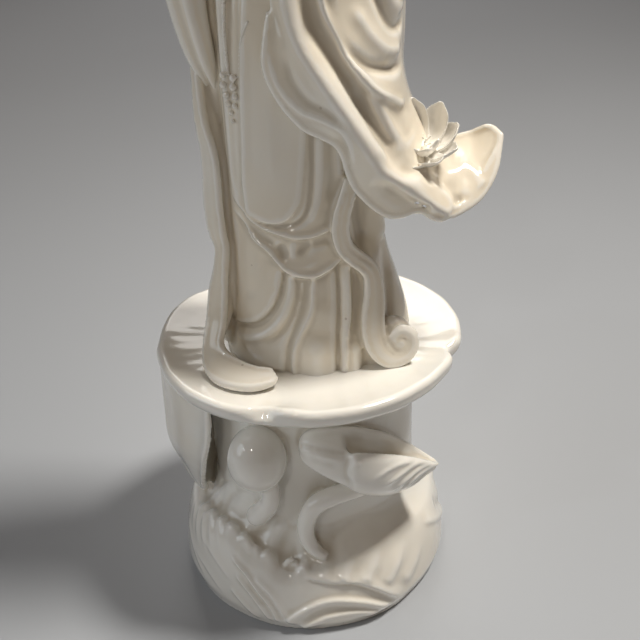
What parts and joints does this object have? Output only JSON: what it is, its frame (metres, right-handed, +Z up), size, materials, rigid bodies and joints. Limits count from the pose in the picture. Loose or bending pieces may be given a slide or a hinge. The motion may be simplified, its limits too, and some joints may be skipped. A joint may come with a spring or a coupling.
{
  "type": "guanyin figure",
  "caption": "Standing guanyin in a hooded mantle on a lotus leaf over a drum and waves, with a lotus in a wide hanging sleeve, white glazed porcelain",
  "frame": {"origin": "centre of the flat round underside that the figure stands on", "axes": "+Z up along the figure, -Y towards the front where the figure looks, +X towards the sleeve with the lotus"},
  "size_m": [0.1414, 0.1293, 0.4],
  "materials": {
    "glaze": "glossy ivory white glaze"
  },
  "bodies": {
    "root": {"guanyin_figure": "glaze"}
  },
  "joints": []
}
